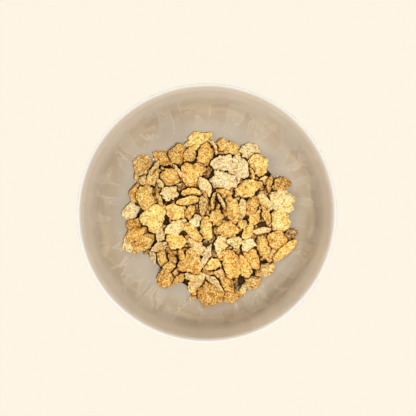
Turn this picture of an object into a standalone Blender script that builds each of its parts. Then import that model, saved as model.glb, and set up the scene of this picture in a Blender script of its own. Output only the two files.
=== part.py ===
"""Bowl of cereal: a straight-sided stoneware bowl with a heap of toasted flakes on its floor.

Run with: blender --background --python part.py
Units are metres, +Z is up and the origin is under the middle of the foot ring.
"""

import math
import random
from collections import namedtuple

import bmesh
import bpy
import numpy as np
from mathutils import Matrix, Vector

MM = 0.001

# Bowl
RIM_RADIUS = 0.080
BOWL_HEIGHT = 0.062
WALL = 0.0036
FLOOR_HEIGHT = 0.007
CAVITY_RADIUS = RIM_RADIUS - WALL
CAVITY_DEPTH = 0.062
CAVITY_POWER = 5.0
FOOT_RADIUS = 0.044
FOOT_WIDTH = 0.005
FOOT_EDGE = 0.0006
INNER_ROWS = 12
RIM_ROWS = 6
OUTER_ROWS = 9
BOWL_STEPS = 56

# Heap
HEAP_CENTRE = (0.0020, -0.0040)
# How far the core reaches from the heap's centre, every 30 degrees from +X, as the heap's outline is uneven
CORE_REACH = (0.056, 0.056, 0.056, 0.053, 0.051, 0.058, 0.056, 0.052, 0.051, 0.055, 0.054, 0.057)
CORE_RISE = 0.013
CORE_EDGE = 0.0024
CORE_SPREAD = 0.12
CORE_SEGMENTS = 28
CORE_RINGS = 10
FLOOR_GAP = 0.0004
FLAKE_SIDES = 11
FLAKE_ROWS = 4
FACE_SPREAD = 0.62
LOBE_COUNTS = (2, 4, 5)
CELL = 0.001
CELLS = 160
FINE_SIDES = 64
FINE_ROWS = 32
LAYER = 0.0005
LAYERS = 80
FLAT_REST = 75
UPRIGHT_SINK = 42
BITE = 0.12
CLAY = (0.56, 0.46, 0.35, 1.0)
TOASTED = (0.70, 0.42, 0.13, 1.0)

# Thickness in mm, corner power (2 is an oval, more is squarer, less is pointed), depth of lobes
# and three-sidedness
Shape = namedtuple("Shape", "thick power lobes three")
SHAPES = {
    "round": Shape(2.2, 2.1, 0.06, 0.00),
    "lobed": Shape(2.4, 2.2, 0.14, 0.04),
    "square": Shape(1.8, 3.6, 0.05, 0.00),
    "three": Shape(2.2, 2.4, 0.05, 0.17),
    "leaf": Shape(2.0, 1.5, 0.05, 0.00),
    "bar": Shape(3.0, 2.8, 0.07, 0.00),
    "knob": Shape(4.6, 2.3, 0.10, 0.04),
    "lump": Shape(7.0, 2.3, 0.10, 0.04),
}

# The flakes that show from above, the lowest first: shape, place x and y, length, width,
# turns in degrees and curl. The rest is in mm.
# A positive curl lifts the edges.
Flake = namedtuple("Flake", "shape x y length width turn roll pitch curl")
FLAKES = (
    Flake("bar", -48.0, 25.5, 8.0, 4.5, 78, 20, 0, 0.0),
    Flake("knob", 57.0, -14.5, 8.5, 7.0, 20, 0, 0, 0.0),
    Flake("bar", 53.2, -25.4, 20.0, 6.6, 41, 10, 0, 0.4),
    Flake("square", -53.5, -21.0, 11.0, 8.0, 78, -10, 0, 0.6),
    Flake("bar", -8.0, -57.0, 6.0, 4.2, 20, 0, 0, 0.0),
    Flake("round", -43.0, 21.0, 10.5, 8.5, -42, 10, 0, -0.8),
    Flake("bar", 24.5, -52.5, 8.5, 4.6, 68, 20, 0, 0.0),
    Flake("leaf", -43.9, 33.0, 15.5, 13.0, 66, 10, 8, -1.0),
    Flake("round", -12.0, 39.5, 13.0, 9.0, 70, 26, 0, 0.8),
    Flake("round", -47.0, 13.0, 13.5, 10.5, 38, 10, 0, -1.0),
    Flake("round", 44.0, -28.5, 11.5, 8.0, 60, 14, 0, -0.6),
    Flake("leaf", 29.8, 26.5, 10.5, 6.5, -70, 50, 0, 0.4),
    Flake("round", 39.6, -38.8, 15.0, 8.0, 24, -14, 0, -0.4),
    Flake("leaf", 4.0, 45.0, 12.5, 8.0, -56, 58, 0, 0.6),
    Flake("square", -52.3, 0.8, 12.0, 9.6, 60, 8, 6, 0.5),
    Flake("round", 9.5, 46.0, 8.5, 7.5, 30, -12, 0, 1.6),
    Flake("lobed", 16.5, 43.5, 12.0, 8.5, -10, -16, 0, 0.8),
    Flake("round", 38.0, 22.0, 6.5, 5.5, 20, 10, 0, 0.2),
    Flake("round", 16.5, -56.0, 12.0, 9.5, 12, 10, 0, 2.2),
    Flake("lobed", 31.0, -47.5, 12.5, 8.5, 16, -10, 0, -0.6),
    Flake("bar", -49.5, -7.5, 12.5, 7.0, 14, 10, 0, -1.0),
    Flake("leaf", -37.0, -29.0, 10.5, 6.0, -80, 46, 0, 0.4),
    Flake("lobed", -7.4, -49.0, 13.0, 10.0, 60, 12, 0, 0.6),
    Flake("round", 29.5, 4.5, 14.0, 9.5, 58, -24, 0, -0.8),
    Flake("round", 8.5, -41.5, 9.0, 6.5, 10, 22, 0, 0.4),
    Flake("leaf", -20.0, -40.5, 8.5, 6.0, 40, 50, 0, -0.4),
    Flake("lobed", 29.0, 42.5, 14.0, 10.5, -10, -8, 4, 0.6),
    Flake("lobed", 51.0, 19.5, 12.5, 9.5, -6, -12, 8, -1.0),
    Flake("lump", 2.0, -55.5, 16.5, 15.5, 0, 0, 0, -1.5),
    Flake("leaf", -20.0, 27.0, 13.0, 8.0, -62, 62, 0, 0.4),
    Flake("round", -35.5, 24.5, 14.0, 9.5, 68, 24, 0, -1.0),
    Flake("round", 11.0, 13.0, 9.5, 6.5, -4, -20, 0, 0.6),
    Flake("leaf", 9.5, 8.0, 12.0, 8.0, -60, 66, 0, 0.4),
    Flake("round", -48.2, -14.8, 16.5, 9.0, 22, -6, 0, -1.0),
    Flake("round", -28.2, -46.2, 12.0, 11.5, 20, 8, -6, -1.6),
    Flake("leaf", -24.0, -29.5, 11.0, 7.0, -66, -56, 0, 0.6),
    Flake("leaf", -30.2, 37.2, 15.0, 11.0, -30, -26, 0, 1.2),
    Flake("lobed", -20.0, 38.6, 15.5, 11.0, 66, 8, -8, -0.8),
    Flake("leaf", 4.5, 8.0, 12.5, 8.5, 82, 68, 0, 0.4),
    Flake("round", 38.5, 6.5, 13.5, 9.5, -58, -28, 0, 0.6),
    Flake("square", -31.0, -30.0, 14.0, 7.5, -76, 30, 0, -0.4),
    Flake("leaf", -17.5, -29.0, 11.0, 6.5, -80, 55, 0, -0.6),
    Flake("leaf", -19.0, -45.0, 12.5, 6.5, 36, 38, 0, 0.4),
    Flake("leaf", -35.6, 30.5, 10.0, 6.0, 62, 60, 0, 0.4),
    Flake("leaf", -31.5, 19.5, 9.5, 6.0, -62, 48, 0, 0.4),
    Flake("leaf", 42.5, 20.5, 13.0, 8.0, 80, 60, 0, 0.6),
    Flake("round", 37.5, -23.0, 15.5, 8.4, 102, -18, 0, -1.2),
    Flake("leaf", -11.2, 0.2, 11.5, 7.0, 76, 24, 0, 0.4),
    Flake("bar", 23.0, 2.5, 14.5, 6.0, 82, 24, 0, 0.8),
    Flake("leaf", 39.5, -1.0, 15.0, 9.0, -64, 60, 0, 0.8),
    Flake("knob", 6.0, -3.0, 10.0, 9.0, 40, 0, 0, 0.0),
    Flake("round", 11.0, -28.0, 8.5, 6.0, 20, 20, 0, 0.6),
    Flake("round", 14.0, -46.5, 14.0, 9.5, -60, 26, 0, 2.4),
    Flake("lobed", -5.5, 49.5, 19.5, 11.5, 14, -14, 0, 1.0),
    Flake("leaf", -32.0, 9.0, 11.0, 7.0, -68, 60, 0, 0.4),
    Flake("leaf", 5.0, -47.0, 16.0, 7.4, -40, 50, 0, 0.6),
    Flake("leaf", -25.6, -36.4, 15.0, 9.0, 42, 46, 0, 0.4),
    Flake("lobed", 30.5, -31.0, 14.0, 9.5, -62, 14, 0, -0.6),
    Flake("leaf", -31.0, -14.0, 14.0, 8.5, 76, 38, 0, 0.6),
    Flake("leaf", -32.0, -22.5, 12.5, 8.0, 22, 42, 0, 0.8),
    Flake("leaf", -43.0, -20.8, 19.5, 10.5, 38, 16, 0, -0.8),
    Flake("square", -8.0, -43.0, 13.5, 6.5, -2, 20, 0, 0.4),
    Flake("lobed", -40.5, 9.0, 19.5, 12.5, -74, -10, 4, -2.0),
    Flake("lobed", 21.0, 29.5, 19.0, 13.0, 102, -4, 8, 0.8),
    Flake("knob", 23.5, -7.5, 6.0, 5.4, 0, 0, 0, 0.0),
    Flake("round", 25.2, -36.2, 18.0, 9.0, -66, -10, 0, -1.2),
    Flake("round", 3.5, -35.0, 12.5, 8.0, 12, -22, 0, 0.8),
    Flake("lobed", 10.0, 33.0, 14.0, 12.5, 40, 6, 4, 0.6),
    Flake("round", 34.5, 32.4, 14.6, 13.8, 80, -10, -6, 0.6),
    Flake("lobed", 50.5, 8.0, 19.0, 15.5, -42, 6, -8, -1.2),
    Flake("round", 47.0, -18.5, 13.8, 12.8, 20, 8, 8, 1.4),
    Flake("round", 18.5, -19.5, 10.5, 8.5, -20, -14, 0, 1.4),
    Flake("lobed", -0.5, 38.0, 16.5, 12.0, 82, 16, -6, -2.0),
    Flake("round", -25.0, 13.2, 11.5, 10.5, 24, -8, 4, 0.8),
    Flake("three", -35.5, -3.0, 19.0, 15.5, 52, -6, 4, 0.8),
    Flake("leaf", 16.0, 2.5, 20.0, 10.5, -76, 26, 0, -1.2),
    Flake("leaf", 32.0, -4.0, 13.0, 7.5, 64, 22, 0, -0.6),
    Flake("lobed", 27.8, -21.2, 9.6, 7.8, 10, 10, 0, 0.6),
    Flake("leaf", -1.9, 5.2, 17.0, 8.0, 84, 44, 0, -0.4),
    Flake("round", -20.5, 1.0, 14.0, 12.0, 0, -8, -6, -0.8),
    Flake("lobed", -19.8, -9.8, 16.5, 9.0, 30, 12, 0, -0.6),
    Flake("round", -25.2, 24.0, 13.0, 12.0, 12, 8, -6, -1.0),
    Flake("leaf", 28.0, -13.0, 12.5, 8.0, 66, 24, 0, -0.4),
    Flake("leaf", -0.5, -28.0, 18.0, 5.6, 66, 40, 0, 0.6),
    Flake("round", -12.0, 8.3, 16.0, 6.8, 6, 40, 0, 0.4),
    Flake("three", -9.8, 25.6, 17.0, 15.5, -90, -6, 6, -1.2),
    Flake("bar", 37.0, -12.0, 12.0, 4.4, 10, 20, 0, 0.0),
    Flake("square", 49.5, -5.5, 15.0, 13.5, -64, 6, 6, -0.8),
    Flake("round", -10.5, 13.8, 14.5, 7.0, 0, 40, 0, 0.4),
    Flake("round", -1.0, -10.0, 16.5, 9.0, -78, 18, 0, -0.8),
    Flake("lobed", -21.0, -18.5, 12.5, 11.5, 0, 6, -6, 0.6),
    Flake("knob", -8.0, -6.0, 8.8, 6.6, 70, 14, 0, 0.8),
    Flake("leaf", -2.0, 17.0, 16.0, 9.0, -62, 30, 0, -0.8),
    Flake("leaf", -6.0, -23.0, 17.5, 8.6, -42, 18, 0, 0.4),
    Flake("lobed", 27.0, 16.5, 20.5, 10.5, 24, -6, 0, -1.8),
    Flake("lobed", 11.5, 21.5, 17.5, 11.5, -24, 8, -4, -0.8),
    Flake("leaf", 9.0, -21.0, 14.0, 9.8, 74, 8, -4, 0.4),
    Flake("lobed", -10.0, -13.0, 16.0, 8.0, -42, 30, 0, -0.6),
    Flake("three", -10.6, -33.0, 17.0, 15.0, 80, -6, 4, -0.8),
    Flake("round", 14.5, -10.5, 15.5, 11.5, 4, -8, 6, -1.8),
    Flake("round", 17.2, -35.0, 19.0, 12.0, -70, -12, 4, -2.0),
)


def clear_scene():
    for obj in list(bpy.data.objects):
        bpy.data.objects.remove(obj, do_unlink=True)


def new_collection(name):
    collection = bpy.data.collections.new(name)
    bpy.context.scene.collection.children.link(collection)
    return collection


def new_material(name, colour, roughness):
    material = bpy.data.materials.new(name)
    material.use_nodes = True
    shader = material.node_tree.nodes["Principled BSDF"]
    shader.inputs["Base Color"].default_value = colour
    shader.inputs["Roughness"].default_value = roughness
    shader.inputs["Metallic"].default_value = 0.0
    return material


def object_from_bmesh(bm, name, collection):
    mesh = bpy.data.meshes.new(name)
    bm.to_mesh(mesh)
    bm.free()
    obj = bpy.data.objects.new(name, mesh)
    collection.objects.link(obj)
    return obj


# Bowl
def cavity_height(radius):
    """Height of the bowl's inner surface at this distance from its axis."""
    reach = np.minimum(radius / CAVITY_RADIUS, 1.0) ** CAVITY_POWER
    return FLOOR_HEIGHT + CAVITY_DEPTH * (1.0 - (1.0 - reach) ** (1.0 / CAVITY_POWER))


def cavity_points(rows):
    """Points of the inner surface from the axis out to the rim, most of them in the corner."""
    depth = BOWL_HEIGHT - WALL / 2 - FLOOR_HEIGHT
    last_angle = math.acos((1.0 - depth / CAVITY_DEPTH) ** (CAVITY_POWER / 2))
    points = []
    for row in range(rows + 1):
        angle = last_angle * row / rows
        radius = CAVITY_RADIUS * math.sin(angle) ** (2 / CAVITY_POWER)
        height = FLOOR_HEIGHT + CAVITY_DEPTH * (1.0 - math.cos(angle) ** (2 / CAVITY_POWER))
        points.append((radius, height))
    return points


def through_wall(point):
    """The point of the outer surface straight through the wall from this point of the inner one."""
    radius, height = point
    outward = (radius / CAVITY_RADIUS) ** (CAVITY_POWER - 1) / CAVITY_RADIUS
    down = (1.0 - (height - FLOOR_HEIGHT) / CAVITY_DEPTH) ** (CAVITY_POWER - 1) / CAVITY_DEPTH
    length = math.hypot(outward, down)
    return radius + WALL * outward / length, height - WALL * down / length


def bowl_profile():
    """The whole section: along the floor, up the inside, over the round rim and down to the foot ring."""
    points = cavity_points(INNER_ROWS)
    rim_radius, rim_height = points[-1]
    for row in range(1, RIM_ROWS):
        angle = math.pi * (1.0 - row / RIM_ROWS)
        across = rim_radius + WALL / 2 * (1.0 + math.cos(angle))
        points.append((across, rim_height + WALL / 2 * math.sin(angle)))
    outer = [through_wall(point) for point in cavity_points(OUTER_ROWS)]
    points.extend(point for point in reversed(outer) if point[0] > FOOT_RADIUS + FOOT_WIDTH)
    inner_foot = FOOT_RADIUS - FOOT_WIDTH
    underside = FLOOR_HEIGHT - WALL
    points.append((FOOT_RADIUS, underside))
    points.append((FOOT_RADIUS - FOOT_EDGE, 0.0))
    points.append((inner_foot + FOOT_EDGE, 0.0))
    points.append((inner_foot, underside))
    points.append((0.0, underside))
    return points


def make_bowl(collection):
    bm = bmesh.new()
    rows = [bm.verts.new((radius, 0.0, height)) for radius, height in bowl_profile()]
    for above, below in zip(rows, rows[1:]):
        bm.edges.new((above, below))
    mesh = bpy.data.meshes.new("bowl")
    bm.to_mesh(mesh)
    bm.free()
    bowl = bpy.data.objects.new("bowl", mesh)
    collection.objects.link(bowl)
    screw = bowl.modifiers.new("Turn", "SCREW")
    screw.axis = "Z"
    screw.steps = BOWL_STEPS
    screw.render_steps = BOWL_STEPS
    screw.use_merge_vertices = True
    screw.merge_threshold = 0.00005
    mesh.materials.append(new_material("stoneware", CLAY, 0.12))
    return bowl


# Heap
def core_reach(angle):
    """Distance from the heap's centre to the core's edge in this direction."""
    every = 2 * math.pi / len(CORE_REACH)
    return np.interp(angle, np.arange(len(CORE_REACH)) * every, CORE_REACH, period=2 * math.pi)


def from_centre(x, y):
    """0 at the heap's centre and 1 at the core's edge."""
    away_x, away_y = x - HEAP_CENTRE[0], y - HEAP_CENTRE[1]
    return np.hypot(away_x, away_y) / core_reach(np.arctan2(away_y, away_x))


def core_height(x, y):
    """Height of the top of the heap's core, which thins to an edge on the bowl's floor."""
    dome = CORE_RISE * np.clip(1.0 - from_centre(x, y) ** 2, 0.0, 1.0)
    return FLOOR_HEIGHT + CORE_EDGE + dome


def outline(shape, angle, phases):
    """Distance of the flake's edge in this direction, where 1 is an even oval."""
    power = shape.power
    edge = (np.abs(np.cos(angle)) ** power + np.abs(np.sin(angle)) ** power) ** (-1.0 / power)
    lobes = sum(np.cos(count * angle + phase) for count, phase in zip(LOBE_COUNTS, phases))
    return edge * (1.0 + shape.lobes * lobes / 2 + shape.three * np.cos(3 * angle))


def flake_points(flake, phases, unit):
    """Moves points of the unit sphere to the flake, turned as it lies, with its middle at the origin."""
    shape = SHAPES[flake.shape]
    angle = np.arctan2(unit[:, 1], unit[:, 0])
    spread = np.hypot(unit[:, 0], unit[:, 1]) ** FACE_SPREAD
    reach = spread * outline(shape, angle, phases)
    along = reach * np.cos(angle) * flake.length / 2
    across = reach * np.sin(angle) * flake.width / 2
    height = unit[:, 2] * shape.thick / 2 + flake.curl * spread**2
    turn = Matrix.Rotation(math.radians(flake.turn), 3, "Z")
    pitch = Matrix.Rotation(math.radians(flake.pitch), 3, "Y")
    roll = Matrix.Rotation(math.radians(flake.roll), 3, "X")
    matrix = np.array(turn @ pitch @ roll)
    return np.stack([along, across, height], axis=1) @ matrix.T * MM


def unit_sphere(sides, rows):
    around, down = np.meshgrid(np.arange(sides) / sides * 2 * math.pi, np.linspace(0.0, math.pi, rows))
    around, down = around.ravel(), down.ravel()
    return np.stack([np.sin(down) * np.cos(around), np.sin(down) * np.sin(around), np.cos(down)], axis=1)


class Ground:
    """What a flake comes to lie on: the heap so far, in square cells cut into thin layers."""

    def __init__(self):
        middles = (np.arange(CELLS) - CELLS / 2 + 0.5) * CELL
        x, y = (grid.ravel() for grid in np.meshgrid(middles, middles))
        floor = cavity_height(np.hypot(x, y)) + FLOOR_GAP
        self.heights = np.where(from_centre(x, y) < 1.0, np.maximum(floor, core_height(x, y)), floor)
        self.solid = self.layers_between(floor, self.heights)
        self.ball = unit_sphere(FINE_SIDES, FINE_ROWS)

    def layers_between(self, low, high):
        middles = (np.arange(LAYERS) + 0.5) * LAYER
        return (middles > low[:, None]) & (middles < high[:, None])

    def settle(self, flake, phases):
        """How high the flake's middle comes to lie, clear of the bowl and bitten into the heap."""
        points = flake_points(flake, phases, self.ball) + (flake.x * MM, flake.y * MM, 0.0)
        column, line = np.floor(points[:, :2].T / CELL + CELLS / 2).astype(int)
        lows = np.full(CELLS * CELLS, np.inf)
        highs = np.full(CELLS * CELLS, -np.inf)
        np.minimum.at(lows, line * CELLS + column, points[:, 2])
        np.maximum.at(highs, line * CELLS + column, points[:, 2])
        under = np.flatnonzero(np.isfinite(lows))
        low, high = lows[under], highs[under]
        share = FLAT_REST - UPRIGHT_SINK * abs(math.sin(math.radians(flake.roll)))
        height = np.percentile(self.heights[under] - low, share)
        clear = np.max(cavity_height(np.hypot(points[:, 0], points[:, 1])) - points[:, 2]) + FLOOR_GAP
        wanted = BITE * np.sum(self.layers_between(low + height, high + height))
        while height > clear:
            if np.sum(self.solid[under] & self.layers_between(low + height, high + height)) > wanted:
                break
            height -= LAYER
        height = max(height, clear)
        self.heights[under] = np.maximum(self.heights[under], high + height)
        self.solid[under] |= self.layers_between(low + height, high + height)
        return height


def add_flake(flake, number, ground, collection):
    draw = random.Random(number)
    phases = [draw.uniform(0.0, 2 * math.pi) for _ in LOBE_COUNTS]
    place = (flake.x * MM, flake.y * MM, ground.settle(flake, phases))
    bm = bmesh.new()
    bmesh.ops.create_uvsphere(bm, u_segments=FLAKE_SIDES, v_segments=FLAKE_ROWS, radius=1.0)
    unit = np.array([vert.co for vert in bm.verts])
    for vert, point in zip(bm.verts, flake_points(flake, phases, unit) + place):
        vert.co = point
    return object_from_bmesh(bm, f"flake_{number:03d}", collection)


def make_core(collection):
    """The inside of the heap: a low dome with a thin edge that the outer flakes are fused to."""
    bm = bmesh.new()
    bmesh.ops.create_uvsphere(bm, u_segments=CORE_SEGMENTS, v_segments=CORE_RINGS, radius=1.0)
    for vert in bm.verts:
        reach = core_reach(math.atan2(vert.co.y, vert.co.x))
        x = HEAP_CENTRE[0] + vert.co.x * reach
        y = HEAP_CENTRE[1] + vert.co.y * reach
        bottom = cavity_height(math.hypot(x, y)) + FLOOR_GAP
        top = max(core_height(x, y), bottom + CORE_EDGE / 2)
        middle = (top + bottom) / 2
        vert.co = (x, y, middle + (top - middle) * math.copysign(abs(vert.co.z) ** CORE_SPREAD, vert.co.z))
    return object_from_bmesh(bm, "cereal", collection)


def keep_outer_shell(mesh):
    """Drops the sealed hollows and loose scraps that fusing leaves, so one closed body stays."""
    bm = bmesh.new()
    bm.from_mesh(mesh)
    waiting = set(bm.faces)
    shells = []
    while waiting:
        shell = set()
        front = [waiting.pop()]
        while front:
            face = front.pop()
            shell.add(face)
            for edge in face.edges:
                for other in edge.link_faces:
                    if other in waiting:
                        waiting.remove(other)
                        front.append(other)
        shells.append(shell)
    shells.sort(key=len)
    scraps = [face for shell in shells[:-1] for face in shell]
    bmesh.ops.delete(bm, geom=scraps, context="FACES")
    bm.to_mesh(mesh)
    bm.free()


def make_cereal(collection):
    flakes = new_collection("flakes")
    ground = Ground()
    for number, flake in enumerate(FLAKES):
        add_flake(flake, number, ground, flakes)
    cereal = make_core(collection)
    union = cereal.modifiers.new("Fuse flakes", "BOOLEAN")
    union.operation = "UNION"
    union.operand_type = "COLLECTION"
    union.collection = flakes
    union.solver = "MANIFOLD"
    bpy.context.view_layer.update()
    graph = bpy.context.evaluated_depsgraph_get()
    fused = bpy.data.meshes.new_from_object(cereal.evaluated_get(graph))
    cereal.modifiers.clear()
    cereal.data = fused
    for obj in list(flakes.objects):
        bpy.data.objects.remove(obj, do_unlink=True)
    bpy.data.collections.remove(flakes)
    keep_outer_shell(fused)
    fused.name = "cereal"
    fused.materials.clear()
    fused.materials.append(new_material("toasted cereal", TOASTED, 0.85))
    return cereal


def main():
    clear_scene()
    collection = new_collection("bowl of cereal")
    make_bowl(collection)
    make_cereal(collection)


main()
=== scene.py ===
"""Bowl of cereal: the glazed bowl and the heap of flakes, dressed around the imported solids.

Units are metres, +Z is up and the origin is under the middle of the foot ring.
"""

import itertools
import math
import random
from collections import namedtuple

import bmesh
import bpy
import numpy as np
from bpy.props import FloatProperty, FloatVectorProperty, IntProperty, PointerProperty
from mathutils import Matrix, Vector, noise


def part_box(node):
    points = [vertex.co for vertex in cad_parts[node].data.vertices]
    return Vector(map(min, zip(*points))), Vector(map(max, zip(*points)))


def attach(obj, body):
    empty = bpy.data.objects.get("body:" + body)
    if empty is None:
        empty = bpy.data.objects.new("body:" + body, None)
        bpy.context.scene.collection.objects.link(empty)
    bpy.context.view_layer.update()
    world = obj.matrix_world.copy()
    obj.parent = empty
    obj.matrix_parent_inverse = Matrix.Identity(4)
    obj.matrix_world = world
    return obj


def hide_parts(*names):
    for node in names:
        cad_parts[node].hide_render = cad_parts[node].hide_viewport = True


bl_info = {
    "name": "Bowl of Cereal",
    "version": (1, 0, 0),
    "blender": (4, 5, 0),
    "location": "3D View > Sidebar > Cereal",
    "description": "Models a glazed stoneware bowl with a heap of toasted flakes",
    "category": "Add Mesh",
}

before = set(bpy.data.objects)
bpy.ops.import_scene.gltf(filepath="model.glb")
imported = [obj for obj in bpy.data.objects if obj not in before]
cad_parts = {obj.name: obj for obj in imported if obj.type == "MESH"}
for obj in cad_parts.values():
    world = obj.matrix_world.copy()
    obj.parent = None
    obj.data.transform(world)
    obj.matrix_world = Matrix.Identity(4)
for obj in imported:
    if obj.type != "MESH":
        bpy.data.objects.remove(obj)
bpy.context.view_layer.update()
BOWL_LOW, BOWL_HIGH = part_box("bowl")
RIM_RADIUS = (BOWL_HIGH[0] - BOWL_LOW[0]) / 2
BOWL_HEIGHT = BOWL_HIGH[2] - BOWL_LOW[2]
MM = 0.001
# Places closer together than this are the same
CLOSE = 1e-6

# Bowl
WALL = 0.0036
FLOOR_HEIGHT = 0.007
CAVITY_RADIUS = RIM_RADIUS - WALL
CAVITY_DEPTH = 0.062
CAVITY_POWER = 5.0
FOOT_RADIUS = 0.044
FOOT_WIDTH = 0.005
FOOT_EDGE = 0.0006
FOOT_BEVEL = 0.0005

# Glaze: the heights over the table between which each mark comes in or goes out. The corner's darkening is
# painted shade, and its streaks, pale lines and wisps are painted reflections of the flakes
REFLECTION_RUN_IN = (0.0105, 0.014)
REFLECTION_RUN_OUT = (0.042, 0.017)
WISP_IN = (0.014, 0.019)
WISP_OUT = (0.040, 0.028)
WALL_LIGHT_FADE = (0.010, 0.050)
LIP_FADE = (BOWL_HEIGHT - 0.0020, BOWL_HEIGHT - 0.0005)
EDGE_HIGHLIGHT_IN = (BOWL_HEIGHT - 0.010, BOWL_HEIGHT - 0.004)
# The distances from the axis between which the lip turns pale, with a painted highlight
EDGE_HIGHLIGHT_FADE = (RIM_RADIUS - 0.0026, RIM_RADIUS - 0.0006)
# Scale of each noise, and how much faster it changes up the wall than round it
CLOUD_SCALE = 45.0
SPECK_SCALE = 220.0
REFLECTION_RUN_SCALE = 8.5
REFLECTION_RUN_STRETCH = 6.0
WISP_SCALE = 4.5
WISP_STRETCH = 40.0
# The values of its noise between which each mark comes in
CLOUD_MASK = (0.38, 0.66)
REFLECTION_RUN_MASK = (0.47, 0.53)
WISP_MASK = (0.48, 0.60)
# Distance of the noise from a painted reflection streak's edge at which its pale line ends, and of a speck's
# edge from its middle
LINE_MASK = (0.022, 0.004)
SPECK_MASK = (0.14, 0.08)
# How strongly each mark shows
CLOUD_SHADE = 0.92
REFLECTION_RUN_SHARE = 0.45
CORNER_SHADE_SHARE = 0.2
LINE_SHARE = 0.45
WISP_SHARE = 0.4
SPECK_SHARE = 0.2
SPECK_COLOUR = (0.85, 0.8, 0.7)
GLAZE_IOR = 1.5
# Strength and depth of the bumps
GLAZE_BUMP = (0.05, 0.0003)
SKIN_BUMP = (0.9, 0.0007)

# Heap, laid out as in the solids
HEAP_CENTRE = (0.0020, -0.0040)
CORE_REACH = (0.056, 0.056, 0.056, 0.053, 0.051, 0.058, 0.056, 0.052, 0.051, 0.055, 0.054, 0.057)
CORE_RISE = 0.013
CORE_EDGE = 0.0024
CORE_SPREAD = 0.12
FLOOR_GAP = 0.0004
# How a flake's roundness spreads over its faces, and how many lobes its three waves make round its edge
FACE_SPREAD = 0.62
LOBE_COUNTS = (2, 4, 5)
# Cells and layers in which the heap is built up, and the points of a flake that are looked at
CELL = 0.001
CELLS = 160
LAYER = 0.0005
LAYERS = 80
FINE_SIDES = 64
FINE_ROWS = 32
# The percent of its cells that a flat flake starts above, how much less that is for an upright one, and the
# share of its bulk that it then sinks into the heap
FLAT_REST = 75
UPRIGHT_SINK = 42
BITE = 0.12
# How far a tucked flake rises over the bare core and lies under the others, the percent of its cells that may
# be higher, and the fewest bare cells that show it
GAP_RISE = 0.0016
GAP_COVER = 0.0010
GAP_PERCENT = 4
GAP_CELLS = 6

# Thickness in mm, corner power (2 is an oval, more is squarer, less is pointed), depth of lobes,
# three-sidedness, and how rough the skin and edge are
Shape = namedtuple("Shape", "thick power lobes three rough")
SHAPES = {
    "round": Shape(2.2, 2.1, 0.06, 0.00, 1.0),
    "lobed": Shape(2.4, 2.2, 0.14, 0.04, 1.1),
    "square": Shape(1.8, 3.6, 0.05, 0.00, 0.5),
    "three": Shape(2.2, 2.4, 0.05, 0.17, 0.7),
    "leaf": Shape(2.0, 1.5, 0.05, 0.00, 1.1),
    "bar": Shape(3.0, 2.8, 0.07, 0.00, 0.4),
    "knob": Shape(4.6, 2.3, 0.10, 0.04, 1.0),
    "lump": Shape(7.0, 2.3, 0.10, 0.04, 1.5),
    "crumb": Shape(1.4, 2.2, 0.10, 0.04, 0.35),
}

# Base colours of the flakes, as linear red, green and blue
TONES = {
    "cream": (0.715, 0.58, 0.31),
    "pale": (0.695, 0.54, 0.235),
    "pink": (0.70, 0.49, 0.20),
    "yellow": (0.775, 0.60, 0.19),
    "gold": (0.75, 0.52, 0.13),
    "amber": (0.64, 0.395, 0.078),
    "tan": (0.61, 0.425, 0.150),
    "toast": (0.55, 0.308, 0.050),
    "brown": (0.26, 0.13, 0.030),
}

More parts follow.
